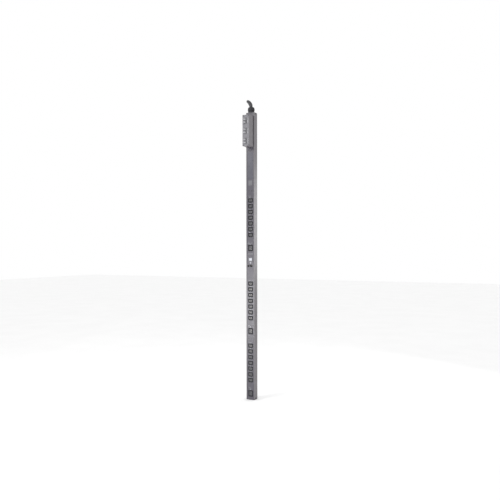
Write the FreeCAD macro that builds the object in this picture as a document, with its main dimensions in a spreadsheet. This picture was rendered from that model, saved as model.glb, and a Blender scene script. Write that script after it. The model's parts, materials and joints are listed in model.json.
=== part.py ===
"""Zero-U rack power strip: a tall steel channel with outlets, breakers, a display and a supply cord.

Millimetres, +Z up. The front faces -Y and the back face lies in the plane y = 0. The origin is on the
back face, midway between the two mounting pegs, and midway up the chassis.
"""
import FreeCAD, Part
import math
import os
import re
import Sketcher

from FreeCAD import Placement, Rotation, Vector

SIZES = {
    # chassis
    "body_width": 56, "body_depth": 44, "body_height": 1829, "sheet": 1.5,
    "lip_width": 3, "lip_gap": 1, "panel_recess": 1.2, "panel_sheet": 1.2,
    "rail_leg": 6.5, "rail_sheet": 1.2, "tab_depth": 12,
    # mounting pegs
    "peg_spacing": 1556, "peg_neck": 3, "peg_neck_radius": 3, "peg_head": 3, "peg_head_radius": 5.5,
    # breaker housing
    "housing_width": 47, "housing_reach": 59.8, "housing_height": 195, "housing_low": 1607,
    "housing_sheet": 1.2, "breaker_first": 1637, "breaker_pitch": 63.5, "breaker_height": 39,
    "breaker_shift": -4, "breaker_face": 23, "breaker_case": 36, "handle_throw": 22,
    "handle_axis_back": 5.5, "handle_radius": 3, "handle_clearance": 0.08,
    # outlets: widths run across the panel and heights run up it
    "outlet_pitch": 36.6, "outlet_proud": 0.3, "outlet_depth": 20.3, "groove_depth": 17,
    "small_width": 29, "small_height": 22, "small_core_width": 23.5, "small_core_height": 16,
    "small_corner": 5, "large_width": 28, "large_height": 34.5, "large_core_width": 21.5,
    "large_core_height": 28, "large_corner": 2, "outlet_rim": 2.7, "slot_width": 2.2,
    "small_slot": 6.5, "large_slot": 8.5, "contact_play": 0.4, "cutout_play": 0.2,
    "indicator_shift": -3.6, "indicator_radius": 1.6, "outlet_shift": 1.3,
    # control section
    "screen_level": 893, "screen_width": 20, "screen_height": 16.5, "bezel_rim": 5, "bezel_proud": 1.5,
    "screen_shift": 1, "button_shift": 1.5, "button_level": 872, "button_side": 10, "button_travel": 0.8, "reset_shift": 14,
    "jack_level": 852, "serial_shift": -12.5, "network_shift": 6.8,
    "plate_low": 838, "plate_high": 912, "plate_gap": 0.2,
    # supply cord and gland
    "cord_radius": 9.2, "gland_radius": 22, "gland_height": 38, "gland_setback": 22, "gland_shift": -3,
    "hank_top": 752, "hank_run": 300, "hank_width": 119, "hank_thick": 36, "hank_waist": 42,
    "tail_length": 48, "hank_x": -47.5, "hank_y": 71.2, "hank_turn": 117,
    "tail_x": -70.6, "tail_y": 116.7,
    "plug_radius": 27, "plug_length": 62,
}
BANK_LEVELS = {1: 1048.6, 2: 519.2, 3: 124.2}   # lowest small outlet of each bank, above the foot
LARGE_LEVELS = (965.5, 436, 40)                 # large outlets, above the foot
OUTLETS_PER_BANK = 7
BREAKERS = (1, 2, 3)

doc = FreeCAD.newDocument("rack_power_strip")
sheet = doc.addObject("Spreadsheet::Sheet", "Sizes")
for row, (alias, value) in enumerate(SIZES.items(), 1):
    sheet.set(f"A{row}", alias)
    sheet.set(f"B{row}", str(value))
    sheet.setAlias(f"B{row}", alias)
doc.recompute()

nodes = []


# ---------------------------------------------------------------- formulas of the sheet's sizes

def bound(formula):
    """The formula as an expression that reads the sheet."""
    return re.sub(r"\b([a-z][a-z_]*)\b", r"Sizes.\1", str(formula))


def number(formula):
    """The formula's value, worked out by the sheet in a spare cell."""
    sheet.set("D1", f"={formula}")
    sheet.recompute()
    return float(sheet.get("D1"))


def up(height):
    """A level above the foot of the chassis."""
    return f"({height}) - body_height / 2"


CROWN = "body_height / 2"
FOOT = "-body_height / 2"
PANEL_FRONT = "panel_recess - body_depth"
PANEL_BACK = "panel_recess + panel_sheet - body_depth"
OUTLET_FRONT = "panel_recess - body_depth - outlet_proud"
OUTLET_BACK = "panel_recess - body_depth - outlet_proud + outlet_depth"
BOARD_FRONT = -21.2
BOARD_BACK = -19.6
BUS_FRONT = -6.5
BUS_BACK = -5.0
LINER_FRONT = -1.9
CONTROL_FRONT = -24.6
CONTROL_BACK = -23
BREAKER_BACK = -47
HOUSING_FRONT = "-(body_depth + housing_reach)"


# ---------------------------------------------------------------- building blocks

def add(kind, **settings):
    made = doc.addObject(kind, "shape")
    for name, formula in settings.items():
        made.setExpression(name.replace("_", "."), bound(formula))
    return made


def place(made, x, y, z):
    for axis, formula in zip("xyz", (x, y, z)):
        made.setExpression(f"Placement.Base.{axis}", bound(formula))
    return made


def block(x, y, z):
    """A box over three spans, each a pair of formulas, low then high."""
    made = add("Part::Box", Length=f"({x[1]}) - ({x[0]})", Width=f"({y[1]}) - ({y[0]})",
               Height=f"({z[1]}) - ({z[0]})")
    return place(made, x[0], y[0], z[0])


def middle(centre, size):
    """The span of a size about a centre."""
    return f"({centre}) - ({size}) / 2", f"({centre}) + ({size}) / 2"


TURNS = {"X": Rotation(Vector(0, 1, 0), 90), "Y": Rotation(Vector(1, 0, 0), -90), "Z": Rotation()}


def rod(axis, x, y, z, radius, length):
    """A cylinder that starts at x, y, z and runs along +axis."""
    made = add("Part::Cylinder", Radius=radius, Height=length)
    made.Placement = Placement(Vector(), TURNS[axis])
    return place(made, x, y, z)


def cone(x, y, z, low_radius, high_radius, length):
    made = add("Part::Cone", Radius1=low_radius, Radius2=high_radius, Height=length)
    return place(made, x, y, z)


def hexagon(axis, x, y, z, radius, length):
    made = add("Part::Prism", Circumradius=radius, Height=length)
    made.Polygon = 6
    made.Placement = Placement(Vector(), TURNS[axis])
    return place(made, x, y, z)


def fuse(*parts):
    made = doc.addObject("Part::MultiFuse", "fused")
    made.Shapes = list(parts)
    made.Refine = True
    return made


def gather(*parts):
    """Separate solids that belong to one sub-part."""
    if len(parts) == 1:
        return parts[0]
    made = doc.addObject("Part::Compound", "gathered")
    made.Links = list(parts)
    return made


def cut(base, *tools):
    made = doc.addObject("Part::Cut", "trimmed")
    made.Base = base
    made.Tool = gather(*tools)
    made.Refine = True
    return made


def node(label, made):
    made.Label = label
    nodes.append(made)
    return made


def copies(label, *rows):
    """One sub-part of many equal solids: each row is a master and the spots where its shape repeats."""
    made = doc.addObject("Part::Feature", "group")
    shapes = []
    for master, spots in rows:
        for spot in spots:
            shape = master.Shape.copy()
            shape.translate(Vector(*spot))
            shapes.append(shape)
    made.Shape = Part.makeCompound(shapes)
    return node(label, made)


def outline(body, plane, offset, loops):
    """A sketch of closed loops; every corner is held by two formulas."""
    sketch = body.newObject("Sketcher::SketchObject", "outline")
    support = [f for f in body.Origin.OriginFeatures if f.Role == plane][0]
    sketch.AttachmentSupport = [(support, "")]
    sketch.MapMode = "FlatFace"
    sketch.setExpression("AttachmentOffset.Base.z", bound(offset))
    first = 0
    for loop in loops:
        corners = [Vector(number(across), number(along), 0) for across, along in loop]
        count = len(corners)
        for i, corner in enumerate(corners):
            sketch.addGeometry(Part.LineSegment(corner, corners[(i + 1) % count]))
        for i in range(count):
            ends = (first + i, 2, first + (i + 1) % count, 1)
            sketch.addConstraint(Sketcher.Constraint("Coincident", *ends))
        for i, (formulas, corner) in enumerate(zip(loop, corners)):
            for kind, formula, value in zip(("DistanceX", "DistanceY"), formulas, corner):
                held = sketch.addConstraint(Sketcher.Constraint(kind, -1, 1, first + i, 1, value))
                sketch.setExpression(f"Constraints[{held}]", bound(formula))
        first += count
    return sketch


def pad(body, sketch, length):
    made = body.newObject("PartDesign::Pad", "pad")
    made.Profile = sketch
    made.setExpression("Length", bound(length))
    sketch.Visibility = False
    return made


def pocket(body, sketch, depth=None):
    """A pocket of a depth, or through everything."""
    doc.recompute()
    before = body.Shape.Volume
    made = body.newObject("PartDesign::Pocket", "pocket")
    made.Profile = sketch
    if depth is None:
        made.Type = "ThroughAll"
    else:
        made.setExpression("Length", bound(depth))
    doc.recompute()
    if body.Shape.Volume > before - 1e-3:
        raise RuntimeError("a pocket removed nothing")
    return made


def rectangle(width, height, x="0", z="0", corner=None):
    """Corners of a rectangle; the two lower ones are chamfered if a corner size is given."""
    (left, right), (low, high) = middle(x, width), middle(z, height)
    if corner is None:
        return [(left, low), (right, low), (right, high), (left, high)]
    return [(f"{left} + {corner}", low), (f"{right} - {corner}", low), (right, f"{low} + {corner}"),
            (right, high), (left, high), (left, f"{low} + {corner}")]


# ---------------------------------------------------------------- where things repeat

def small_spots(bank):
    """Centres of a bank's small outlets, from the lowest."""
    lowest = number(up(BANK_LEVELS[bank]))
    return [(SIZES["outlet_shift"], 0, lowest + i * SIZES["outlet_pitch"]) for i in range(OUTLETS_PER_BANK)]


LARGE_SPOTS = [(SIZES["outlet_shift"], 0, number(up(level))) for level in LARGE_LEVELS]
SMALL_SPOTS = [spot for bank in BANK_LEVELS for spot in small_spots(bank)]
BREAKER_SPOTS = {k: (0, 0, number(up(f"breaker_first + {k - 1} * breaker_pitch"))) for k in BREAKERS}
LARGE_INDICATOR_RISE = 25.5
INDICATOR_SPOTS = [(SIZES["indicator_shift"], 0, z + SIZES["outlet_pitch"] / 2) for _, _, z in SMALL_SPOTS]
INDICATOR_SPOTS += [(SIZES["indicator_shift"], 0, z + LARGE_INDICATOR_RISE) for _, _, z in LARGE_SPOTS]
PANEL_SCREWS = [(x, z) for z in (782, 1330, 1590, 390) for x in (-10, 10)]
END_SCREW_DEPTH = 22
END_SCREW_INSET = 7.5
INNER = "body_width / 2 - sheet"


# ---------------------------------------------------------------- chassis and covers

def chassis():
    whole = block(middle(0, "body_width"), ("-body_depth", 0), (f"{FOOT} + sheet", f"{CROWN} - sheet"))
    room = block((f"-({INNER})", INNER), ("sheet - body_depth", "-sheet"), (FOOT, CROWN))
    mouth = block(middle(0, "body_width - 2 * lip_width"), ("-body_depth - 1", "2 * sheet - body_depth"),
                  (FOOT, CROWN))
    pegs = [rod("Y", 0, -3, f"{side} * peg_spacing / 2", "peg_neck_radius", 4) for side in (-1, 1)]
    screws = [rod("X", "-body_width", -END_SCREW_DEPTH, level, 1.6, "2 * body_width")
              for level in (f"{FOOT} + {END_SCREW_INSET}", f"{CROWN} - {END_SCREW_INSET}")]
    node("chassis_channel", cut(whole, room, mouth, *pegs, *screws))


def end_cap(label, side):
    """A flat plate with two tabs that are bent into the channel, and a hole for the gland on top."""
    low, high = (f"{CROWN} - sheet", CROWN) if side > 0 else (FOOT, f"{FOOT} + sheet")
    inner, outer = (f"{CROWN} - sheet - tab_depth", low) if side > 0 else (high, f"{high} + tab_depth")
    plate = block(middle(0, "body_width"), ("-body_depth", 0), (low, high))
    tabs = [block((f"{INNER} - sheet", INNER), (-30, -14), (inner, outer)),
            block((f"-({INNER})", f"sheet - ({INNER})"), (-30, -14), (inner, outer))]
    level = f"{CROWN} - {END_SCREW_INSET}" if side > 0 else f"{FOOT} + {END_SCREW_INSET}"
    holes = [rod("X", "-body_width", -END_SCREW_DEPTH, level, 1.6, "2 * body_width")]
    if side > 0:
        holes.append(rod("Z", "gland_shift", "-gland_setback", low, 12.2, "2 * sheet"))
    node(label, cut(fuse(plate, *tabs), *holes))


def end_cap_screws():
    heads = []
    for level in (f"{FOOT} + {END_SCREW_INSET}", f"{CROWN} - {END_SCREW_INSET}"):
        for side in (-1, 1):
            shank_from = "body_width / 2 - 5" if side > 0 else "-body_width / 2"
            head_from = "body_width / 2" if side > 0 else "-body_width / 2 - 1.6"
            shank = rod("X", shank_from, -END_SCREW_DEPTH, level, 1.55, 5)
            head = rod("X", head_from, -END_SCREW_DEPTH, level, 3.2, 1.6)
            recess_from = f"({head_from}) + 0.6 * {side}"
            recess = hexagon("X", recess_from, -END_SCREW_DEPTH, level, 1.3, 1.6)
            heads.append(cut(fuse(shank, head), recess))
    node("end_cap_screws", gather(*heads))


def front_panel():
    """The inset plate in two lengths, with the control plate between them, and all their cut-outs."""
    deep = ("-body_depth - 2", "5 - body_depth")
    play = "2 * outlet_rim + 2 * cutout_play"
    split = number(up("plate_low"))

    def plate(low, high, *tools):
        width = "body_width - 2 * lip_width - 2 * lip_gap"
        return cut(block(middle(0, width), (PANEL_FRONT, PANEL_BACK), (low, high)), *tools)

    def tools_where(chosen):
        """Cut-outs for the outlets, indicators and screws whose level passes the test."""
        made = [block(middle(x, f"small_width + {play}"), deep, middle(z, f"small_height + {play}"))
                for x, _, z in SMALL_SPOTS if chosen(z)]
        made += [block(middle(x, f"large_width + {play}"), deep, middle(z, f"large_height + {play}"))
                 for x, _, z in LARGE_SPOTS if chosen(z)]
        made += [rod("Y", x, "-body_depth - 2", z, "indicator_radius + 0.1", 7)
                 for x, _, z in INDICATOR_SPOTS if chosen(z)]
        made += [rod("Y", x, "-body_depth - 2", up(z), 1.6, 7)
                 for x, z in PANEL_SCREWS if chosen(number(up(z)))]
        return made

    way_in = block(middle(0, 30), deep, (up("housing_low + 12"), up("housing_low + housing_height - 12")))
    upper = plate(up("plate_high + plate_gap"), f"{CROWN} - sheet", way_in, *tools_where(lambda z: z > split))
    lower = plate(f"{FOOT} + sheet", up("plate_low - plate_gap"), *tools_where(lambda z: z < split))
    node("front_panel", gather(upper, lower))
    screen = block(middle("screen_shift", "screen_width + 1"), deep, middle(up("screen_level"), "screen_height + 1"))
    button = block(middle("button_shift", "button_side + 0.6"), deep, middle(up("button_level"), "button_side + 0.6"))
    node("control_plate", plate(
        up("plate_low"), up("plate_high"), screen, button,
        rod("Y", "reset_shift", "-body_depth - 2", up("button_level"), 1.7, 7),
        block(middle("serial_shift", 13.2), deep, middle(up("jack_level"), 14.8)),
        block(middle("network_shift", 17.2), deep, middle(up("jack_level"), 14.8))))


def panel_rails():
    """Two angle strips that hold the front panel inside the channel."""
    rails = []
    for side in (-1, 1):
        behind = (f"{INNER} - rail_leg", INNER) if side > 0 else (f"-({INNER})", f"rail_leg - ({INNER})")
        beside = ((f"{INNER} - rail_sheet", INNER) if side > 0
                  else (f"-({INNER})", f"rail_sheet - ({INNER})"))
        length = (f"{FOOT} + 20", f"{CROWN} - 20")
        rails.append(fuse(block(behind, (PANEL_BACK, f"{PANEL_BACK} + rail_sheet"), length),
                          block(beside, (PANEL_BACK, f"{PANEL_BACK} + 11"), length)))
    node("panel_rails", gather(*rails))


def panel_screws():
    made = []
    for x, z in PANEL_SCREWS:
        shank = rod("Y", x, PANEL_FRONT, up(z), 1.5, 5)
        head = rod("Y", x, f"{PANEL_FRONT} - 1", up(z), 2.6, 1)
        recess = hexagon("Y", x, f"{PANEL_FRONT} - 2", up(z), 1.2, 1.6)
        made.append(cut(fuse(shank, head), recess))
    node("panel_screws", gather(*made))


def mounting_pegs():
    """Headed studs for keyhole slots, riveted through the back wall."""
    made = []
    for side in (-1, 1):
        level = f"{side} * peg_spacing / 2"
        made.append(fuse(rod("Y", 0, -3, level, 6, 1.5),
                         rod("Y", 0, -1.5, level, "peg_neck_radius", "1.5 + peg_neck"),
                         rod("Y", 0, "peg_neck", level, "peg_head_radius", "peg_head")))
    node("mounting_pegs", gather(*made))


def labels():
    """Blank plates and tags on the front panel and beside the breakers: x, level, width and height."""
    spots = [(0, 1490, 38, 172), (0, 1380, 27, 32), (-4, 1296, 16, 7), (-11, 997, 10, 12),
             (9, 997, 12, 6), (0, 928, 34, 8), (-9, 470, 12, 8), (-6, 76, 16, 8)]
    made = [block(middle(x, width), (f"{PANEL_FRONT} - 0.3", PANEL_FRONT), middle(up(z), height))
            for x, z, width, height in spots]
    front = f"{HOUSING_FRONT} + 0.6"
    made += [block(middle(14, 8.5), (f"{front} - 0.3", front), middle(z, 30))
             for _, _, z in BREAKER_SPOTS.values()]
    node("label_plates", gather(*made))


# ---------------------------------------------------------------- breakers

def breaker_section():
    low, high = up("housing_low"), up("housing_low + housing_height")
    outer = block(middle(0, "housing_width"), (HOUSING_FRONT, PANEL_FRONT), (low, high))
    inner = block(middle(0, "housing_width - 2 * housing_sheet"), (f"{HOUSING_FRONT} - 1", 0),
                  (f"{low} + housing_sheet", f"{high} - housing_sheet"))
    node("breaker_housing", cut(outer, inner))

    front, back = f"{HOUSING_FRONT} + 0.6", f"{HOUSING_FRONT} + 2.1"
    face = block(middle(0, "housing_width - 2 * housing_sheet"), (front, back),
                 (f"{low} + housing_sheet", f"{high} - housing_sheet"))
    windows = [block(middle("breaker_shift", "breaker_face + 0.6"), (f"{front} - 2", f"{back} + 2"),
                     middle(z, "breaker_height + 0.6")) for _, _, z in BREAKER_SPOTS.values()]
    ends = (up("housing_low + 5"), up("housing_low + housing_height - 5"))
    holes = [rod("Y", x, f"{front} - 1", z, 1.6, 4) for x in (-18, 18) for z in ends]
    node("breaker_faceplate", cut(face, *windows, *holes))
    screws = [cut(fuse(rod("Y", x, front, z, 1.5, 6), rod("Y", x, f"{front} - 1.1", z, 2.7, 1.1)),
                  hexagon("Y", x, f"{front} - 2", z, 1.2, 1.6)) for x in (-18, 18) for z in ends]
    node("faceplate_screws", gather(*screws))

    axis_y = f"{HOUSING_FRONT} + handle_axis_back"
    for k, (_, _, z) in BREAKER_SPOTS.items():
        case = block(middle("breaker_shift + 2", "breaker_case"), (back, BREAKER_BACK),
                     middle(z, "breaker_height"))
        boss = block(middle("breaker_shift", "breaker_face"), (f"{HOUSING_FRONT} - 0.6", back),
                     middle(z, "breaker_height"))
        slots = [block(middle("breaker_shift + 2", 12), (f"{HOUSING_FRONT} - 2", axis_y),
                       middle(f"{z} + {step}", 9)) for step in (-9.25, 9.25)]
        bore = rod("Z", "breaker_shift + 2", axis_y, f"{z} - 17", "handle_radius + handle_clearance", 34)
        split = block(middle("breaker_shift", "breaker_face + 1"),
                      (f"{HOUSING_FRONT} - 1", f"{HOUSING_FRONT} + 1"), middle(z, 0.8))
        node(f"breaker_{k}_body", cut(fuse(case, boss), *slots, bore, split))
        shaft = rod("Z", 0, 0, -16.8, "handle_radius", 33.6)
        paddles = [block(middle(0, 5), (-16.5, 0), middle(step, 8)) for step in (-9.25, 9.25)]
        handle = fuse(shaft, *paddles)
        handle.Placement = Placement(Vector(), Rotation(Vector(0, 0, 1), -SIZES["handle_throw"]))
        node(f"breaker_{k}_handle", place(handle, "breaker_shift + 2", axis_y, z))


# ---------------------------------------------------------------- supply entry

def gland():
    x, y = "gland_shift", "-gland_setback"
    hexed = hexagon("Z", x, y, CROWN, "gland_radius", 12)
    collar = rod("Z", x, y, f"{CROWN} + 12", 15, 8)
    spigot = rod("Z", x, y, f"{CROWN} - 14", 12, 14)
    passage = rod("Z", x, y, f"{CROWN} - 20", "cord_radius + 0.7", 50)
    seat = rod("Z", x, y, f"{CROWN} + 10", 12.4, 20)
    node("gland_body", cut(fuse(hexed, collar, spigot), passage, seat))
    node("gland_locknut", cut(hexagon("Z", x, y, f"{CROWN} - sheet - 5", 17, 5),
                              rod("Z", x, y, f"{CROWN} - 10", 12.1, 12)))
    node("gland_seal", cut(rod("Z", x, y, f"{CROWN} + 10", 12.3, 12),
                           rod("Z", x, y, f"{CROWN} + 9", "cord_radius + 0.1", 14)))
    skirt = rod("Z", x, y, f"{CROWN} + 12.2", "gland_radius", 15.8)
    dome = cone(x, y, f"{CROWN} + 28", "gland_radius", 12, "gland_height - 28")
    cavity = rod("Z", x, y, f"{CROWN} + 11", 15.2, 11.2)
    mouth = rod("Z", x, y, f"{CROWN} + 20", "cord_radius + 0.4", 30)
    node("gland_dome_nut", cut(fuse(skirt, dome), cavity, mouth))
    node("cord_entry", rod("Z", x, y, f"{CROWN} - 8", "cord_radius", "gland_height + 8"))


def terminal_and_wires():
    block_low, block_high = up(1625), up(1780)
    node("terminal_block", block((-20, 20), (-24, -6), (block_low, block_high)))
    wires = [rod("Z", x, y, block_high, 2.2, 34) for x, y in ((-9, -15), (9, -15), (-3, -12), (3, -18))]
    feeds = [rod("Y", x, BREAKER_BACK, f"{z} + {step}", 1.9, 23)
             for _, _, z in BREAKER_SPOTS.values() for x in (-8, 8) for step in (-9.25, 9.25)]
    node("internal_wires", gather(*wires, *feeds))
    stud = rod("Y", -18, -16, up(1612), 2.5, 14.5)
    nut = cut(hexagon("Y", -18, -12, up(1612), 5, 4), rod("Y", -18, -13, up(1612), 2.55, 6))
    node("ground_stud", gather(stud, nut))


# ---------------------------------------------------------------- outlets

def outlet_master(size, corner, slots):
    """One moulded outlet: an outer rim, a groove for the plug's shroud, and a core with three slots."""
    body = doc.addObject("PartDesign::Body", "outlet")
    plane, front = "XZ_Plane", "body_depth - panel_recess + outlet_proud"
    rim = "2 * outlet_rim"
    base = outline(body, plane, f"{front} - outlet_depth",
                   [rectangle(f"{size}_width + {rim}", f"{size}_height + {rim}")])
    pad(body, base, "outlet_depth")
    ring = [rectangle(f"{size}_width", f"{size}_height", corner=corner),
            rectangle(f"{size}_core_width", f"{size}_core_height", corner=f"({corner}) * 0.8")]
    pocket(body, outline(body, plane, front, ring), "groove_depth")
    pocket(body, outline(body, plane, front, [rectangle(*slot) for slot in slots]))
    return body


def contact_master(slots, setback=1.6):
    """Three flat contacts, each a little smaller than its slot."""
    blades = [block(middle(x, f"{width} - contact_play * 2"), (f"{OUTLET_FRONT} + {setback}", BOARD_FRONT),
                    middle(z, f"{height} - contact_play * 2")) for width, height, x, z in slots]
    return gather(*blades)


SMALL_SLOTS = [("slot_width", "small_slot", "-7", "1.2"), ("slot_width", "small_slot", "7", "1.2"),
               ("slot_width", "small_slot", "0", "-2.6")]
LARGE_SLOTS = [("slot_width", "large_slot", "3.5", "7"), ("slot_width", "large_slot", "3.5", "-7"),
               ("slot_width", "large_slot", "-4", "0")]


def outlets():
    small = outlet_master("small", "small_corner", SMALL_SLOTS)
    large = outlet_master("large", "large_corner", LARGE_SLOTS)
    small_contacts, large_contacts = contact_master(SMALL_SLOTS), contact_master(LARGE_SLOTS)
    shank = rod("Y", 0, f"{PANEL_FRONT} - 0.2", 0, "indicator_radius", 8)
    bead = add("Part::Sphere", Radius="indicator_radius")
    indicator = fuse(shank, place(bead, 0, f"{PANEL_FRONT} - 0.2", 0))
    relay = block((-12, 12), (BOARD_BACK, -8.6), middle(0, 15))
    doc.recompute()
    for bank in BANK_LEVELS:
        copies(f"c13_outlets_bank_{bank}", (small, small_spots(bank)))
    copies("c19_outlets", (large, LARGE_SPOTS))
    copies("outlet_contacts", (small_contacts, SMALL_SPOTS), (large_contacts, LARGE_SPOTS))
    copies("outlet_indicators", (indicator, INDICATOR_SPOTS))
    copies("outlet_relays", (relay, SMALL_SPOTS + LARGE_SPOTS))


def power_boards():
    """A board behind each bank, and the bars that feed them."""
    boards, spacers, taps = [], [], []
    bus_x = (-13.5, -4.5, 4.5, 13.5)
    for bank, (level, large) in enumerate(zip(BANK_LEVELS.values(), LARGE_LEVELS), 1):
        low, high = large - 25, level + 6 * SIZES["outlet_pitch"] + 20
        boards.append(block((-23, 23), (BOARD_FRONT, BOARD_BACK), (up(low), up(high))))
        for x in (-20.5, 20.5):
            for z in (low + 6, (low + high) / 2, high - 6):
                spacers.append(rod("Y", x, BOARD_BACK, up(z), 2.4, LINER_FRONT - BOARD_BACK))
        for x in bus_x:
            taps.append(block(middle(x, 4), (BOARD_BACK, BUS_FRONT), middle(up(high - 5), 4)))
    node("relay_boards", gather(*boards))
    node("board_spacers", gather(*spacers, *supply_board()))
    node("bus_taps", gather(*taps))
    bars = [block(middle(x, 7), (BUS_FRONT, BUS_BACK), (up(20), up(1600))) for x in bus_x]
    node("bus_bars", gather(*bars))
    holders = [block((-18, 18), (BUS_BACK, LINER_FRONT), middle(up(z), 10))
               for z in (30, 230, 430, 630, 830, 1030, 1230, 1430, 1590)]
    node("bus_supports", gather(*holders))
    sensors = [cut(block(middle(x, 8.6), (-10, -2.4), middle(up(1350), 16)),
                   block(middle(x, 7.3), (BUS_FRONT - 0.2, BUS_BACK + 0.2), middle(up(1350), 20)))
               for x in bus_x[:3]]
    node("current_sensors", gather(*sensors))
    liner = block((-24, 24), (LINER_FRONT, -1.5), (up(18), up(1595)))
    node("insulating_sheet", cut(liner, rod("Y", 0, -3, "-peg_spacing / 2", 7, 3)))


def supply_board():
    low, high = 1420, 1575
    node("power_supply_board", block((-22, 22), (BOARD_FRONT, BOARD_BACK), (up(low), up(high))))
    transformer = block((-15, 15), (-38, BOARD_FRONT), middle(up(1530), 26))
    cans = [rod("Y", x, -36, up(z), 5, 36 + BOARD_FRONT) for x, z in ((-12, 1490), (2, 1490), (-5, 1470))]
    node("power_supply_parts", gather(transformer, *cans))
    return [rod("Y", x, BOARD_BACK, up(z), 2.4, LINER_FRONT - BOARD_BACK)
            for x in (-20.5, 20.5) for z in (low + 7, high - 7)]


# ---------------------------------------------------------------- control section

def jack(label, x, width, mouth_width, mouth_height):
    level = up("jack_level")
    shell = block(middle(x, width), (f"{PANEL_FRONT} - 0.3", CONTROL_FRONT), middle(level, 14.4))
    mouth = block(middle(x, mouth_width), (f"{PANEL_FRONT} - 1", f"{PANEL_FRONT} + 12"),
                  middle(level, mouth_height))
    key = block(middle(x, f"{mouth_width} * 0.4"), (f"{PANEL_FRONT} - 1", f"{PANEL_FRONT} + 8"),
                middle(f"{level} - {mouth_height / 2}", 2.4))
    node(label, cut(shell, mouth, key))


def controls():
    screen, button = up("screen_level"), up("button_level")
    rim = block(middle("screen_shift", "screen_width + 2 * bezel_rim"), (f"{PANEL_FRONT} - bezel_proud", PANEL_FRONT),
                middle(screen, "screen_height + 2 * bezel_rim"))
    window = block(middle("screen_shift", "screen_width"), (f"{PANEL_FRONT} - 5", PANEL_BACK),
                   middle(screen, "screen_height"))
    node("display_bezel", cut(rim, window))
    glass = block(middle("screen_shift", "screen_width + 0.6"), (PANEL_FRONT, PANEL_BACK),
                  middle(screen, "screen_height + 0.6"))
    case = block(middle("screen_shift", 30), (PANEL_BACK, f"{PANEL_BACK} + 5"), middle(screen, 25))
    node("display_module", fuse(case, glass))
    flange = block(middle("button_shift", "button_side + 3"), (-41.4, -40.2), middle(button, "button_side + 3"))
    cap = block(middle("button_shift", "button_side"), (f"{PANEL_FRONT} - 1.5", -40.2), middle(button, "button_side"))
    node("scroll_button", fuse(cap, flange, rod("Y", "button_shift", -40.2, button, 1.6, 4.2)))
    node("reset_button", fuse(rod("Y", "reset_shift", "-43.2", button, 1.5, 7.2),
                              rod("Y", "reset_shift", -41.3, button, 2.6, 1)))
    switches = [block(middle(x, 6), (-35, CONTROL_FRONT), middle(button, 6)) for x in ("button_shift", "reset_shift")]
    node("button_switches", gather(*switches))
    jack("serial_jack", "serial_shift", 12.6, 9.6, 9.4)
    jack("network_jack", "network_shift", 16.6, 13.2, 9.8)
    node("controller_board", block((-22, 22), (CONTROL_FRONT, CONTROL_BACK), (up(828), up(925))))
    posts = [rod("Y", x, PANEL_BACK, up(z), 2.2, 17) for x in (-17, 17) for z in (833, 919)]
    node("controller_standoffs", gather(*posts))


# ---------------------------------------------------------------- supply cord

def cord_tube(label, points, radius):
    """A tube of straight runs joined by tangent arcs, each as large as its two runs allow."""
    edges, reached, bends = [], points[0], []
    for before, corner, after in zip(points, points[1:], points[2:]):
        arriving, leaving = corner - before, after - corner
        half_turn = arriving.getAngle(leaving) / 2
        trim = 0.45 * min(arriving.Length, leaving.Length)
        bend = trim / math.tan(half_turn)
        bends.append(round(bend, 1))
        start = corner - arriving.normalize() * trim
        end = corner + leaving.normalize() * trim
        inward = ((start + end) / 2 - corner).normalize()
        peak = corner + inward * (math.hypot(bend, trim) - bend)
        edges += [Part.LineSegment(reached, start).toShape(), Part.Arc(start, peak, end).toShape()]
        reached = end
    edges.append(Part.LineSegment(reached, points[-1]).toShape())
    path = Part.Wire(edges)
    profile = Part.Wire(Part.makeCircle(radius, points[0], points[1] - points[0]))
    tube = path.makePipeShell([profile], True, False)
    ratio = tube.Volume / (math.pi * radius ** 2 * path.Length)
    print(f"{label}: length {path.Length:.1f}, bend radii {bends}, volume over section times length {ratio:.4f}")
    made = doc.addObject("Part::Feature", "tube")
    made.Shape = tube
    return node(label, made)


# out of the gland, to the left, over and away to the back, and down to the hank
CORD_POINTS = [
    (-3, -22, 952.5), (-3, -22, 964), (-8.5, -20.5, 977), (-20, -16, 988), (-36, -4, 997.5),
    (-48, 18, 1003), (-50.5, 42, 1000), (-49, 60, 986), (-47.5, 69, 962), (-48.5, 72, 915),
    (-57, 83, 865), (-71, 103, 822), (-78.5, 112.5, 782), (-78.5, 112.5, 752),
]


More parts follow.
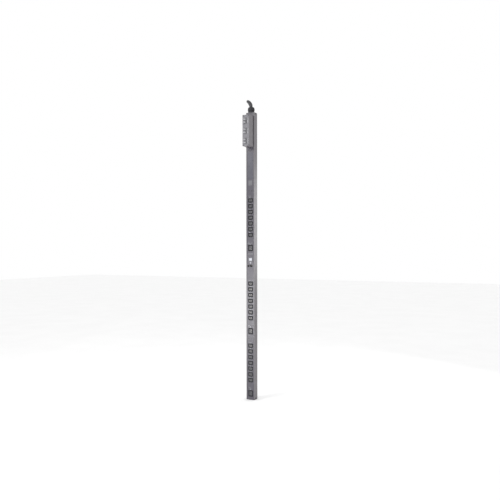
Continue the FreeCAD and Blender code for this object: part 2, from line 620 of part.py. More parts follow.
def supply_cord():
    radius = number("cord_radius")
    cord_tube("power_cord", [Vector(*point) for point in CORD_POINTS], radius)

    # the hank: a pad of its outline, loops above and below and a waist in the middle
    body = doc.addObject("PartDesign::Body", "hank")
    side, waist, full = "hank_width / 2", "hank_waist / 2", "hank_run / 2 + hank_width / 2"
    lobe, round_off = "hank_run / 2 - 45", 32
    outer = [(waist, "15"), (side, lobe), (side, full)]
    inner = [(f"{round_off} - ({side})", full), (f"-({side})", f"{full} - {round_off}"),
             (f"-({side})", lobe), (f"-({waist})", "15")]
    upper = outer + inner
    lower = [(across, f"-({along})") for across, along in reversed(upper)]
    sketch = outline(body, "XZ_Plane", "-hank_thick / 2", [upper + lower])
    pad(body, sketch, "hank_thick")
    middle_level = "hank_top - hank_run / 2 - hank_width / 2"
    body.Placement = Placement(Vector(), Rotation(Vector(0, 0, 1), SIZES["hank_turn"]))
    node("cord_hank", place(body, "hank_x", "hank_y", middle_level))

    tie = cut(block(middle(0, "hank_waist + 5"), middle(0, "hank_thick + 5"), (-12, 12)),
              block(middle(0, "hank_waist"), middle(0, "hank_thick"), (-20, 20)))
    tie.Placement = Placement(Vector(), Rotation(Vector(0, 0, 1), SIZES["hank_turn"]))
    node("hank_tie", place(tie, "hank_x", "hank_y", middle_level))

    x, y = "tail_x", "tail_y"
    low = "hank_top - hank_run - hank_width"
    node("cord_tail", rod("Z", x, y, f"{low} - tail_length", "cord_radius", "tail_length"))
    relief = f"{low} - tail_length - 40"
    node("plug_strain_relief", cone(x, y, relief, 14, "cord_radius + 1", 40))
    shell_low = f"{relief} - plug_length"
    node("plug_body", fuse(cone(x, y, f"{relief} - 14", "plug_radius", 15, 14),
                           rod("Z", x, y, shell_low, "plug_radius", "plug_length - 14")))
    blades = []
    for start in (10, 100, 190, 280):
        outer = add("Part::Cylinder", Radius=15.5, Height=19, Angle=42)
        inner = rod("Z", 0, 0, "-1", 13.7, 30)
        blade = cut(outer, inner)
        blade.Placement = Placement(Vector(), Rotation(Vector(0, 0, 1), start))
        blades.append(place(blade, x, y, f"{shell_low} - 19"))
    node("plug_blades", gather(*blades))


# ---------------------------------------------------------------- build, check and write

def main():
    chassis()
    end_cap("top_end_cap", 1)
    end_cap("bottom_end_cap", -1)
    end_cap_screws()
    front_panel()
    panel_rails()
    panel_screws()
    mounting_pegs()
    labels()
    breaker_section()
    gland()
    terminal_and_wires()
    outlets()
    power_boards()
    controls()
    supply_cord()
    doc.recompute()

    failed = [o.Name for o in doc.Objects if {"Invalid", "Error"} & set(o.State)]
    if failed:
        raise RuntimeError(f"objects failed: {failed}")
    for made in nodes:
        if made.Shape.isNull() or not made.Shape.isValid() or not made.Shape.Solids:
            raise RuntimeError(f"{made.Label} has no valid shape")
    os.makedirs("parts", exist_ok=True)
    for made in nodes:
        made.Shape.exportStep(f"parts/{made.Label}.step")
    print(len(nodes), "sub-parts,", sum(len(made.Shape.Solids) for made in nodes), "solids")


main()
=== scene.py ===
"""Looks of a zero-U rack power strip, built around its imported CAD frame. Metres, +Z up, front facing -Y."""
import json
import math

import bmesh
import bpy
from mathutils import Matrix, Vector


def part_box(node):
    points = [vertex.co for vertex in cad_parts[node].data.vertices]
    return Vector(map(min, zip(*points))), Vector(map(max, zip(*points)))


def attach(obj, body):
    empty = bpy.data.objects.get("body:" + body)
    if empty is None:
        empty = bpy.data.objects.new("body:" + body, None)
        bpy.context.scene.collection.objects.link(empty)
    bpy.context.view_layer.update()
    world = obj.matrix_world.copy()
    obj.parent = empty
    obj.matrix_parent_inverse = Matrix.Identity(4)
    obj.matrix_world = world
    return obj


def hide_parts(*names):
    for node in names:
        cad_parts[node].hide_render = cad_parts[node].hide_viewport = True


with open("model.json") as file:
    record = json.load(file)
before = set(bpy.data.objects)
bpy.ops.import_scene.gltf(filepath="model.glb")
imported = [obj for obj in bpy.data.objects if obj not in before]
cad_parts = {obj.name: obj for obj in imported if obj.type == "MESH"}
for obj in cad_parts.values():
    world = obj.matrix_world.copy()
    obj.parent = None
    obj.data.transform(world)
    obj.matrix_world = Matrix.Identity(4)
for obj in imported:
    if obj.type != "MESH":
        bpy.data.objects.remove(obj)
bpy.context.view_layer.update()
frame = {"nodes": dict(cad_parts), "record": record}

NODES = frame["nodes"]
CHASSIS = "chassis"
BREAKERS = (1, 2, 3)

# ---------------------------------------------------------------- camera

TURN = math.radians(27)                    # the camera stands to the right of the front
RIGHT = Vector((math.cos(TURN), math.sin(TURN), 0))
AWAY = Vector((-math.sin(TURN), math.cos(TURN), 0))
DISTANCE = 3.700
EYE_LEVEL = 0.0386
ROLL = math.radians(-0.07)
SIDE_STEP = -0.0216                        # puts the strip a little right of the middle
LENS = 41.4
SENSOR = 36.0


def make_camera():
    data = bpy.data.cameras.new("camera")
    data.lens, data.sensor_width = LENS, SENSOR
    data.clip_end = 60
    made = bpy.data.objects.new("camera", data)
    made.location = RIGHT * SIDE_STEP - AWAY * DISTANCE + Vector((0, 0, EYE_LEVEL))
    level = Matrix.Rotation(TURN, 4, "Z") @ Matrix.Rotation(math.radians(90), 4, "X")
    made.rotation_euler = (level @ Matrix.Rotation(ROLL, 4, "Z")).to_euler()
    bpy.context.scene.collection.objects.link(made)
    bpy.context.scene.camera = made


make_camera()

# ---------------------------------------------------------------- supply cord

CORD_RADIUS = 0.0092
# out of the gland, to the left, over and away to the back, and down to the hank
CORD_ROUTE = [
    (-0.003, -0.022, 0.9525), (-0.003, -0.022, 0.964), (-0.0085, -0.0205, 0.977), (-0.020, -0.016, 0.988),
    (-0.036, -0.004, 0.9975), (-0.048, 0.018, 1.003), (-0.0505, 0.042, 1.000), (-0.049, 0.060, 0.986),
    (-0.0475, 0.069, 0.962), (-0.0485, 0.072, 0.915), (-0.057, 0.083, 0.865), (-0.071, 0.103, 0.822),
    (-0.0795, 0.1145, 0.782), (-0.0785, 0.1125, 0.752),
]
HANK_CENTRE = Vector((-0.0475, 0.0712, 0))
HANK_TOP, HANK_LOW = 0.6925, 0.3925        # levels of the centres of the upper and lower folds
HANK_MIDDLE = (HANK_TOP + HANK_LOW) / 2
FOLD = 0.0553                              # radius of a fold
FOLD_STEPS = 6
TAIL_END = (-0.0706, 0.1167, 0.285)


def hank_point(along, aside, level):
    """A point of the hank: along the view's direction, aside across it, both from the hank's middle."""
    spot = HANK_CENTRE + AWAY * along - RIGHT * aside
    return (spot.x, spot.y, level)


def hank_route():
    """Three runs that are drawn together at the waist, with a fold below and a fold above."""
    points = []
    runs = [(1, 0.009, 0.0085, 0.0095, -1), (-1, 0.0, -0.0085, 0.0, 1), (1, -0.009, 0.0085, -0.0095, -1)]
    reach = (HANK_TOP - HANK_LOW) / 2
    for i, (side, aside, waist_along, waist_aside, heading) in enumerate(runs):
        for step, draw in ((0.86, 0.0), (0.56, 0.42), (0.2, 0.95), (-0.2, 0.95), (-0.56, 0.42), (-0.86, 0.0)):
            along = side * FOLD * (1 - draw) + waist_along * draw
            across = aside * (1 - draw) + waist_aside * draw
            points.append(hank_point(along, across, HANK_MIDDLE - heading * step * reach))
        if i == len(runs) - 1:
            break
        centre = HANK_LOW if heading < 0 else HANK_TOP
        next_aside = runs[i + 1][1]
        for k in range(FOLD_STEPS):
            share = (k + 0.5) / FOLD_STEPS
            angle = math.pi * share
            radius = FOLD / math.cos(math.pi / FOLD_STEPS / 2)
            along = side * radius * math.cos(angle)
            level = centre + heading * radius * math.sin(angle)
            points.append(hank_point(along, aside + (next_aside - aside) * share, level))
    return points


def make_cord():
    tail = [hank_point(FOLD, -0.004, HANK_LOW - 0.045), (*TAIL_END[:2], TAIL_END[2] + 0.028), TAIL_END]
    points = CORD_ROUTE[:-1] + hank_route() + tail
    data = bpy.data.curves.new("supply_cord", "CURVE")
    data.dimensions = "3D"
    spline = data.splines.new("NURBS")
    spline.points.add(len(points) - 1)
    for point, spot in zip(spline.points, points):
        point.co = (*spot, 1)
        point.radius = CORD_RADIUS
    spline.order_u = 3
    spline.use_endpoint_u = True
    spline.resolution_u = 12
    data.bevel_depth = 1                   # times the points' radius
    data.bevel_resolution = 8
    data.use_fill_caps = True
    made = bpy.data.objects.new("supply_cord", data)
    bpy.context.scene.collection.objects.link(made)
    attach(made, CHASSIS)
    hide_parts("power_cord", "cord_hank", "cord_tail")
    return made


CORD = make_cord()


# ---------------------------------------------------------------- materials

def new_material(name):
    made = bpy.data.materials.new(name)
    made.use_nodes = True
    tree = made.node_tree
    return made, tree, tree.nodes["Principled BSDF"]


def wire(tree, start, end):
    tree.links.new(start, end)


def noise(tree, scale, detail=3.0, rough=0.55, stretch=None):
    """Noise in the object's own coordinates, so it stays on the piece."""
    where = tree.nodes.new("ShaderNodeTexCoord")
    out = tree.nodes.new("ShaderNodeTexNoise")
    out.inputs["Scale"].default_value = scale
    out.inputs["Detail"].default_value = detail
    out.inputs["Roughness"].default_value = rough
    source = where.outputs["Object"]
    if stretch:
        mapping = tree.nodes.new("ShaderNodeMapping")
        mapping.inputs["Scale"].default_value = stretch
        wire(tree, source, mapping.inputs["Vector"])
        source = mapping.outputs["Vector"]
    wire(tree, source, out.inputs["Vector"])
    return out.outputs["Fac"]


def spread(tree, value, low, high, start=0.35, end=0.65):
    """Maps the middle of a noise to a range."""
    made = tree.nodes.new("ShaderNodeMapRange")
    for name, number in (("From Min", start), ("From Max", end), ("To Min", low), ("To Max", high)):
        made.inputs[name].default_value = number
    wire(tree, value, made.inputs["Value"])
    return made.outputs["Result"]


def blend_colours(tree, amount, first, second):
    made = tree.nodes.new("ShaderNodeMix")
    made.data_type = "RGBA"
    wire(tree, amount, made.inputs["Factor"])
    for slot_name, value in (("A", first), ("B", second)):
        socket = [s for s in made.inputs if s.name == slot_name and s.type == "RGBA"][0]
        if hasattr(value, "is_linked"):
            wire(tree, value, socket)
        else:
            socket.default_value = (*value, 1)
    return [s for s in made.outputs if s.type == "RGBA"][0]


def edge_mask(tree, radius):
    """1 where the surface turns a corner, 0 on flats."""
    bevel = tree.nodes.new("ShaderNodeBevel")
    bevel.samples = 4
    bevel.inputs["Radius"].default_value = radius
    surface = tree.nodes.new("ShaderNodeNewGeometry")
    dot = tree.nodes.new("ShaderNodeVectorMath")
    dot.operation = "DOT_PRODUCT"
    wire(tree, bevel.outputs["Normal"], dot.inputs[0])
    wire(tree, surface.outputs["Normal"], dot.inputs[1])
    return spread(tree, dot.outputs["Value"], 1.0, 0.0, 0.72, 0.98)


def finish_surface(tree, shader, heights, strength, distance):
    """Adds the heights as one bump."""
    total = heights[0]
    for height in heights[1:]:
        both = tree.nodes.new("ShaderNodeMath")
        both.operation = "ADD"
        wire(tree, total, both.inputs[0])
        wire(tree, height, both.inputs[1])
        total = both.outputs["Value"]
    bump = tree.nodes.new("ShaderNodeBump")
    bump.inputs["Strength"].default_value = strength
    bump.inputs["Distance"].default_value = distance
    wire(tree, total, bump.inputs["Height"])
    wire(tree, bump.outputs["Normal"], shader.inputs["Normal"])


def shade(colour, share):
    return tuple(min(1.0, c * share) for c in colour)


def surface(name, colour, rough, metal=0.0, grain=900.0, bump=0.25, depth=0.0002, mottle=0.1,
            wear=None, wear_radius=0.0009, coat=0.0, stretch=None, specular=0.5):
    """A finish with colour mottling, roughness variation, fine grain and, where named, worn edges."""
    made, tree, shader = new_material(name)
    cloud = noise(tree, 22.0, 4.0)
    amount = spread(tree, cloud, 0.0, 1.0)
    tint = blend_colours(tree, amount, shade(colour, 1 - mottle), shade(colour, 1 + mottle))
    if wear is not None:
        scuff = spread(tree, noise(tree, 260.0, 5.0), 0.0, 1.0, 0.42, 0.6)
        edge = tree.nodes.new("ShaderNodeMath")
        edge.operation = "MULTIPLY"
        wire(tree, edge_mask(tree, wear_radius), edge.inputs[0])
        wire(tree, scuff, edge.inputs[1])
        tint = blend_colours(tree, edge.outputs["Value"], tint, wear)
    wire(tree, tint, shader.inputs["Base Color"])
    fine = noise(tree, grain, 2.0, 0.6, stretch)
    wire(tree, spread(tree, noise(tree, 60.0, 4.0), rough - 0.03, rough + 0.03), shader.inputs["Roughness"])
    shader.inputs["Metallic"].default_value = metal
    shader.inputs["Coat Weight"].default_value = coat
    shader.inputs["Specular IOR Level"].default_value = specular
    finish_surface(tree, shader, [fine], bump, depth)
    return made


def label_films():
    """Satin film: dark and a little blue on the long plate, paler on the tags, palest beside the breakers."""
    made, tree, shader = new_material("label_films")
    where = tree.nodes.new("ShaderNodeTexCoord")
    parts = tree.nodes.new("ShaderNodeSeparateXYZ")
    wire(tree, where.outputs["Object"], parts.inputs["Vector"])
    tone = spread(tree, noise(tree, 30.0, 4.0), 0.0, 1.0)
    tags = blend_colours(tree, tone, (0.105, 0.104, 0.116), (0.130, 0.129, 0.142))
    long_plate = blend_colours(tree, tone, (0.052, 0.051, 0.070), (0.062, 0.061, 0.082))
    beside = blend_colours(tree, tone, (0.135, 0.134, 0.146), (0.165, 0.164, 0.176))
    high_up = spread(tree, parts.outputs["Z"], 0.0, 1.0, 0.485, 0.486)
    far_out = spread(tree, parts.outputs["Y"], 1.0, 0.0, -0.071, -0.070)
    tint = blend_colours(tree, far_out, blend_colours(tree, high_up, tags, long_plate), beside)
    wire(tree, tint, shader.inputs["Base Color"])
    wire(tree, spread(tree, noise(tree, 70.0, 4.0), 0.26, 0.40), shader.inputs["Roughness"])
    shader.inputs["Coat Weight"].default_value = 0.15
    finish_surface(tree, shader, [noise(tree, 500.0, 2.0)], 0.06, 0.0002)
    return made


def glowing_screen():
    """A backlit screen: pale, a little cooler in patches, with a faint fine grain."""
    made, tree, shader = new_material("screen_glow")
    cloud = spread(tree, noise(tree, 90.0), 0.0, 1.0)
    glow = blend_colours(tree, cloud, (0.80, 0.82, 0.92), (0.95, 0.96, 1.0))
    glass = blend_colours(tree, cloud, (0.26, 0.27, 0.30), (0.31, 0.32, 0.35))
    wire(tree, glass, shader.inputs["Base Color"])
    wire(tree, glow, shader.inputs["Emission Color"])
    shader.inputs["Emission Strength"].default_value = 0.36
    shader.inputs["Roughness"].default_value = 0.18
    finish_surface(tree, shader, [noise(tree, 2600.0, 1.0)], 0.08, 0.0001)
    return made


MATERIALS = {
    # Chassis and front panel share one black coat: the chassis colour is raised to paint the light on the sides, the
    # panel colour lowered to paint the shade on the front.
    "chassis_paint": surface("chassis_coat_painted_light", (0.128, 0.119, 0.130), 0.36, grain=1500, bump=0.2, mottle=0.05,
                             wear=(0.26, 0.26, 0.27)),
    "panel_paint": surface("panel_coat_painted_shade", (0.063, 0.058, 0.074), 0.36, grain=1500, bump=0.2, mottle=0.06,
                           wear=(0.22, 0.22, 0.24)),
    "faceplate_plastic": surface("faceplate_grain", (0.158, 0.155, 0.170), 0.45, grain=1100, mottle=0.05),
    "black_screw": surface("black_oxide", (0.018, 0.018, 0.02), 0.38, metal=0.6, grain=700,
                           wear=(0.3, 0.3, 0.3)),
    "steel": surface("plated_steel", (0.34, 0.34, 0.35), 0.36, metal=1.0, grain=300, bump=0.1, mottle=0.08,
                     stretch=(1, 1, 12)),
    "zinc": surface("zinc_sheet", (0.5, 0.51, 0.53), 0.36, metal=1.0, grain=240, bump=0.1, mottle=0.14),
    "label_film": label_films(),
    "breaker_plastic": surface("breaker_shell", (0.115, 0.115, 0.124), 0.45, grain=1300, mottle=0.12),
    "handle_plastic": surface("handle_shell", (0.47, 0.47, 0.49), 0.4, grain=900, bump=0.1, mottle=0.05),
    "gland_plastic": surface("gland_nylon", (0.026, 0.026, 0.030), 0.58, grain=1000, bump=0.2, mottle=0.14,
                             specular=0.3),
    "seal_rubber": surface("seal_rubber", (0.02, 0.02, 0.02), 0.6),
    "cord_jacket": surface("cord_jacket", (0.032, 0.032, 0.036), 0.5, grain=700, bump=0.3, mottle=0.14),
    "board_parts": surface("moulded_parts", (0.05, 0.05, 0.055), 0.45),
    "wire_insulation": surface("wire_insulation", (0.03, 0.03, 0.03), 0.4),
    "outlet_plastic": surface("outlet_shell", (0.046, 0.046, 0.055), 0.44, grain=1400, bump=0.2, mottle=0.08),
    # Near-black for the outlet lips: painted shade of the grooves round the outlets.
    "outlet_lip_painted_shade": surface("outlet_lip_painted_shade", (0.014, 0.014, 0.017), 0.55, grain=1200, bump=0.15,
                             specular=0.3),
    "contact_brass": surface("plated_contact", (0.30, 0.28, 0.24), 0.35, metal=1.0, grain=400, bump=0.08),
    "indicator_lens": surface("indicator_lens", (0.58, 0.60, 0.64), 0.2, grain=500, bump=0.05, coat=0.4),
    "relay_case": surface("relay_case", (0.04, 0.06, 0.1), 0.35),
    "circuit_board": surface("circuit_board", (0.02, 0.13, 0.06), 0.35, grain=500),
    "insulator": surface("insulator_film", (0.5, 0.5, 0.46), 0.4),
    "bezel_plastic": surface("bezel_shell", (0.12, 0.12, 0.132), 0.4, grain=1200, mottle=0.07),
    "screen": glowing_screen(),
    "button_plastic": surface("button_cap", (0.34, 0.34, 0.37), 0.4, grain=1100, bump=0.12, mottle=0.05),
    "jack_plastic": surface("jack_shell", (0.022, 0.022, 0.026), 0.45, grain=900),
    "tie_fabric": surface("tie_weave", (0.03, 0.03, 0.034), 0.85, grain=1800, bump=0.8, depth=0.0005),
    "plug_plastic": surface("plug_nylon", (0.04, 0.04, 0.043), 0.42, grain=1100, bump=0.2),
}


def paint(obj, slot):
    obj.data.materials.clear()
    obj.data.materials.append(MATERIALS[slot])


paint(CORD, "cord_jacket")
for part in frame["record"]["subparts"]:
    paint(NODES[part["node"]], part["material_slot"])
paint(NODES["faceplate_screws"], "black_screw")

# ---------------------------------------------------------------- rounded edges on the CAD pieces

ROUNDED = {
    "chassis_channel": 0.0005, "top_end_cap": 0.0006, "bottom_end_cap": 0.0006, "breaker_housing": 0.0007,
    "front_panel": 0.0002, "control_plate": 0.0002, "breaker_faceplate": 0.0003, "display_bezel": 0.0006,
    "scroll_button": 0.0007,
    "gland_body": 0.0008, "c19_outlets": 0.00035, "label_plates": 0.0001, "terminal_block": 0.0005,
    **{f"c13_outlets_bank_{k}": 0.00035 for k in BREAKERS}, **{f"breaker_{k}_body": 0.0004 for k in BREAKERS},
    **{f"breaker_{k}_handle": 0.0006 for k in BREAKERS},
}


def soften(obj, width):
    weld = obj.modifiers.new("weld", "WELD")
    weld.merge_threshold = 0.00001
    flat = obj.modifiers.new("flat", "DECIMATE")
    flat.decimate_type = "DISSOLVE"
    flat.angle_limit = math.radians(0.5)
    bevel = obj.modifiers.new("edges", "BEVEL")
    bevel.width = width
    bevel.segments = 2
    bevel.limit_method = "ANGLE"
    bevel.angle_limit = math.radians(40)
    bevel.harden_normals = True


for node, width in ROUNDED.items():
    soften(NODES[node], width)


# ---------------------------------------------------------------- made pieces

def new_piece(name, mesh_maker, slot, body=CHASSIS, smooth=True):
    """A mesh piece filled in by mesh_maker(bm), with its slot's finish, riding on a body."""
    bm = bmesh.new()
    mesh_maker(bm)
    bmesh.ops.recalc_face_normals(bm, faces=bm.faces)
    data = bpy.data.meshes.new(name)
    bm.to_mesh(data)
    bm.free()
    for polygon in data.polygons:
        polygon.use_smooth = smooth
    made = bpy.data.objects.new(name, data)
    bpy.context.scene.collection.objects.link(made)
    if smooth:
        data.set_sharp_from_angle(angle=math.radians(35))
    paint(made, slot)
    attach(made, body)
    return made


def skin(bm, rings, closed=False):
    """Faces between rings of equal count; open ends are capped."""
    count = len(rings[0])
    pairs = list(zip(rings, rings[1:])) + ([(rings[-1], rings[0])] if closed else [])
    for low, high in pairs:
        for i in range(count):
            bm.faces.new((low[i], low[(i + 1) % count], high[(i + 1) % count], high[i]))
    if not closed:
        bm.faces.new(rings[0])
        bm.faces.new(rings[-1])


def lathe(bm, centre, profile, segments=72, shape=None, closed=False):
    """Turns (radius, level) points about a vertical axis; shape(angle, index) scales the radius."""
    rings = []
    for index, (radius, level) in enumerate(profile):
        ring = []
        for i in range(segments):
            angle = 2 * math.pi * i / segments
            r = radius * (shape(angle, index) if shape else 1)
            x, y = centre[0] + r * math.cos(angle), centre[1] + r * math.sin(angle)
            ring.append(bm.verts.new((x, y, level)))
        rings.append(ring)
    skin(bm, rings, closed)


def gland_nut():
    """A domed nut: six flats low down that fade into a round shoulder, with grip ridges."""
    low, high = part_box("gland_dome_nut")
    centre = (low + high) / 2
    base, height = low.z, high.z - low.z
    outer = [(0.0210, 0.0, 1), (0.0220, 0.04, 1), (0.0220, 0.5, 1), (0.0218, 0.56, 0.6), (0.0212, 0.64, 0.2),
             (0.0200, 0.74, 0), (0.0183, 0.84, 0), (0.0160, 0.92, 0), (0.0135, 0.975, 0), (0.0115, 1.0, 0)]
    inner = [(0.0097, 0.985, 0), (0.0097, 0.4, 0), (0.0164, 0.38, 0), (0.0164, 0.0, 0)]
    rows = outer + inner

    def flats(angle, index):
        turn = (angle % (math.pi / 3)) - math.pi / 6
        six = math.cos(math.pi / 6) / math.cos(turn) / 0.9
        ridge = 1 + 0.012 * math.cos(24 * angle) * rows[index][2]
        return (1 - rows[index][2]) + rows[index][2] * min(1.0, six) * ridge

    def fill(bm):
        lathe(bm, centre, [(r, base + share * height) for r, share, _ in rows], 144, flats, closed=True)

    made = new_piece("gland_nut_shell", fill, "gland_plastic")
    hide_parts("gland_dome_nut")


def plug():
    """A locking plug: ribbed grip, smooth waist and a front rim, with a ringed strain relief above."""
    low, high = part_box("plug_body")
    centre = (low + high) / 2
    height = high.z - low.z
    rows = [(0.0255, 0.0, 0), (0.0268, 0.02, 0), (0.0268, 0.16, 0), (0.0250, 0.18, 0), (0.0250, 0.22, 0),
            (0.0264, 0.25, 1), (0.0264, 0.62, 1), (0.0252, 0.68, 0.6), (0.0226, 0.76, 0.2), (0.0195, 0.85, 0),
            (0.0168, 0.93, 0), (0.0150, 1.0, 0)]

    def ribs(angle, index):
        return 1 - 0.03 * rows[index][2] * max(0.0, math.cos(20 * angle)) ** 2

    made = new_piece("plug_shell", lambda bm: lathe(bm, centre, [(r, low.z + s * height) for r, s, _ in rows],
                                                    160, ribs), "plug_plastic")
    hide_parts("plug_body")

    low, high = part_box("plug_strain_relief")
    steps = 7
    profile = []
    for k in range(steps):
        for share, swell in ((0.0, 1.0), (0.55, 1.0), (0.62, 0.86), (0.94, 0.86)):
            t = (k + share) / steps
            profile.append(((0.0138 + (0.0104 - 0.0138) * t) * swell, low.z + t * (high.z - low.z)))
    profile.append((0.0094, high.z))
    relief = new_piece("plug_relief_rings", lambda bm: lathe(bm, centre, profile, 64), "plug_plastic")
    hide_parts("plug_strain_relief")
    return made, relief


def hank_strap():
    """A woven strap round the hank's waist, with its loose end lying over the first turn."""
    low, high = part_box("hank_tie")
    half = (high.z - low.z) / 2
    wide, deep, corner, thick = 0.0215, 0.0195, 0.010, 0.0022
    level = (low.z + high.z) / 2

    def outline(grow):
        points = []
        for quarter, (sx, sy) in enumerate(((1, 1), (-1, 1), (-1, -1), (1, -1))):
            for k in range(9):
                angle = math.pi / 2 * (quarter + k / 8)
                points.append((sx * (wide - corner) + (corner + grow) * math.cos(angle),
                               sy * (deep - corner) + (corner + grow) * math.sin(angle)))
        return points

    def band(bm, rows, inner, outer, z_half):
        profile = [(inner, -z_half), (outer, -z_half), (outer, z_half), (inner, z_half)]
        loops = []
        for grow, rise in profile:
            loops.append([bm.verts.new(hank_point(a, b, level + rise)) for a, b in outline(grow)[rows]])
        return loops

    def fill(bm):
        loops = band(bm, slice(None), 0.0, thick, half)
        skin(bm, loops, closed=True)
        flap = band(bm, slice(0, 15), thick + 0.0001, 2 * thick, half * 0.92)
        count = len(flap[0])
        for i, loop in enumerate(flap):
            after = flap[(i + 1) % 4]
            for k in range(count - 1):
                bm.faces.new((loop[k], loop[k + 1], after[k + 1], after[k]))
        bm.faces.new([loop[0] for loop in flap])
        bm.faces.new([loop[-1] for loop in flap])

    made = new_piece("hank_strap", fill, "tie_fabric")
    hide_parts("hank_tie")
    return made


def box_into(bm, low, high):
    corners = [bm.verts.new((x, y, z)) for z in (low[2], high[2]) for y in (low[1], high[1])
               for x in (low[0], high[0])]
    for face in ((0, 1, 3, 2), (4, 6, 7, 5), (0, 4, 5, 1), (2, 3, 7, 6), (0, 2, 6, 4), (1, 5, 7, 3)):
        bm.faces.new([corners[i] for i in face])


def jack_contacts(name, node, count, spacing):
    """Sprung gold wires that lean across the roof of a data jack."""
    low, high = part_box(node)
    middle = (low + high) / 2

    def fill(bm):
        for k in range(count):
            x = middle.x + (k - (count - 1) / 2) * spacing
            box_into(bm, (x - 0.00025, low.y + 0.003, middle.z + 0.0030),
                     (x + 0.00025, low.y + 0.0115, middle.z + 0.0034))

    new_piece(name, fill, "contact_brass", smooth=False)


def outlet_frames():
    """A thin lip round each outlet's opening, with its lower corners cut off, coloured near-black as painted shade
    of the groove.
    """
    def shape(x, z, width, height, low_corner, high_corner):
        left, right, low, high = x - width / 2, x + width / 2, z - height / 2, z + height / 2
        return [(left + low_corner, low), (right - low_corner, low), (right, low + low_corner),
                (right, high - high_corner), (right - high_corner, high), (left + high_corner, high),
                (left, high - high_corner), (left, low + low_corner)]

    def fill(bm):
        for node, wide, tall, corner in OUTLET_KINDS:
            low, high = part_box(node)
            face = low.y
            across = (low.x + high.x) / 2
            for level in OUTLET_LEVELS[node]:
                outer = shape(across, level, wide, tall, corner + 0.0015, 0.0015)
                inner = shape(across, level, wide - 2 * LIP, tall - 2 * LIP, corner, 0.0006)
                sunk, proud = face + 0.0001, face - 0.0003
                rows = [(outer, sunk), (outer, proud), (inner, proud), (inner, sunk)]
                skin(bm, [[bm.verts.new((x, y, z)) for x, z in loop] for loop, y in rows], closed=True)

    made = new_piece("outlet_frames", fill, "outlet_plastic", smooth=False)
    made.data.materials.clear()
    made.data.materials.append(MATERIALS["outlet_lip_painted_shade"])
    edges = made.modifiers.new("edges", "BEVEL")
    edges.width, edges.segments = 0.00012, 2


def outlet_numbers():
    """A small printed number beside each outlet's indicator, counted from the top."""
    low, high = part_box("outlet_indicators")
    face_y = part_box("front_panel")[0].y
    spots = sorted(middle_levels("outlet_indicators", 0.005), reverse=True)
    merged = bmesh.new()
    for index, level in enumerate(spots, 1):
        text = bpy.data.curves.new("number", "FONT")
        text.body = str(index)
        text.size = 0.0052
        text.extrude = 0.00005
        text.align_x = "LEFT"
        text.resolution_u = 3
        holder = bpy.data.objects.new("number", text)
        mesh = bpy.data.meshes.new_from_object(holder)
        mesh.transform(Matrix.Translation((high.x + 0.0018, face_y - 0.00006, level - 0.0018))
                       @ Matrix.Rotation(math.radians(90), 4, "X"))
        merged.from_mesh(mesh)
        bpy.data.objects.remove(holder)
    data = bpy.data.meshes.new("outlet_numbers")
    merged.to_mesh(data)
    merged.free()
    made = bpy.data.objects.new("outlet_numbers", data)
    bpy.context.scene.collection.objects.link(made)
    paint(made, "indicator_lens")
    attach(made, CHASSIS)


def middle_levels(node, gap, depth=0.001):
    return [(group[0] + group[-1]) / 2 for group in levels_of(node, gap, depth)]


def levels_of(node, gap, depth=0.001):
    """Levels of a node's separate solids, which lie at least a gap apart, read from its front stretch of corners."""
    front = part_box(node)[0].y
    levels = sorted(v.co.z for v in NODES[node].data.vertices if v.co.y < front + depth)
    groups = [[levels[0]]]
    for z in levels[1:]:
        if z - groups[-1][-1] > gap:
            groups.append([])
        groups[-1].append(z)
    return groups


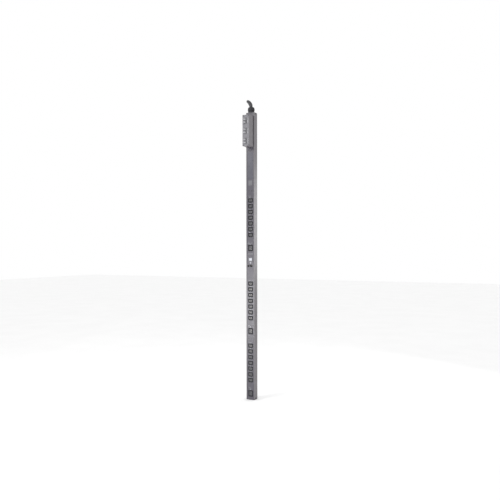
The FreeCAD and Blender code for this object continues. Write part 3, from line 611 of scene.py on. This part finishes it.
LIP = 0.0027
OUTLET_KINDS = [*((f"c13_outlets_bank_{k}", 0.0344, 0.0274, 0.005) for k in BREAKERS),
                ("c19_outlets", 0.0334, 0.0399, 0.002)]
SMALL_GAP, LARGE_GAP = 0.0085, 0.05        # the C13 outlets of a bank stand 9.2 mm apart
WHOLE_DEPTH = 1.0
OUTLET_LEVELS = {node: middle_levels(node, LARGE_GAP if node == "c19_outlets" else SMALL_GAP, WHOLE_DEPTH)
                 for node, *_ in OUTLET_KINDS}
gland_nut()
outlet_frames()
PLUG, RELIEF = plug()
STRAP = hank_strap()
jack_contacts("network_contacts", "network_jack", 8, 0.00125)
jack_contacts("serial_contacts", "serial_jack", 6, 0.00125)
outlet_numbers()


# ---------------------------------------------------------------- floor, backdrop and light

FLOOR_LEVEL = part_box("bottom_end_cap")[0].z - 0.0005


def studio():
    pale, tree, shader = new_material("pale_floor")
    cloud = spread(tree, noise(tree, 3.0), 0.0, 1.0)
    tint = blend_colours(tree, cloud, (0.93, 0.93, 0.93), (0.95, 0.95, 0.95))
    wire(tree, tint, shader.inputs["Base Color"])
    shader.inputs["Roughness"].default_value = 0.9
    data = bpy.data.meshes.new("floor")
    reach = 14
    corners = [(x, y, FLOOR_LEVEL) for x, y in ((-reach, -reach), (reach, -reach), (reach, reach), (-reach, reach))]
    data.from_pydata(corners, [], [(0, 1, 2, 3)])
    floor = bpy.data.objects.new("floor", data)
    floor.data.materials.append(pale)
    bpy.context.scene.collection.objects.link(floor)

    world = bpy.data.worlds.new("studio")
    world.use_nodes = True
    world.node_tree.nodes["Background"].inputs["Color"].default_value = (1, 1, 1, 1)
    world.node_tree.nodes["Background"].inputs["Strength"].default_value = 1.0
    bpy.context.scene.world = world

    # name, place, what it faces, width, height, power: the first three are seen as soft reflections
    boxes = [("front_low", (-1.00, -1.80, -0.50), (0, 0, -0.38), 0.8, 0.6, 19),
             ("front_high", (-1.00, -1.80, 1.28), (0, 0, 0.60), 0.8, 0.45, 8),
             ("side_glow", (1.00, 1.75, 0.29), (0, 0, 0.20), 0.5, 0.95, 6.2),
             ("fill", (-1.6, -2.9, 1.2), (0, 0, 0), 2.2, 2.2, 6)]
    for name, spot, aim, wide, tall, power in boxes:
        light = bpy.data.lights.new(name, "AREA")
        light.shape, light.size, light.size_y, light.energy = "RECTANGLE", wide, tall, power
        lamp = bpy.data.objects.new(name, light)
        lamp.location = spot
        lamp.rotation_euler = (Vector(aim) - Vector(spot)).to_track_quat("-Z", "Y").to_euler()
        lamp.visible_camera = False
        bpy.context.scene.collection.objects.link(lamp)


studio()
bpy.context.scene.view_settings.view_transform = "Standard"
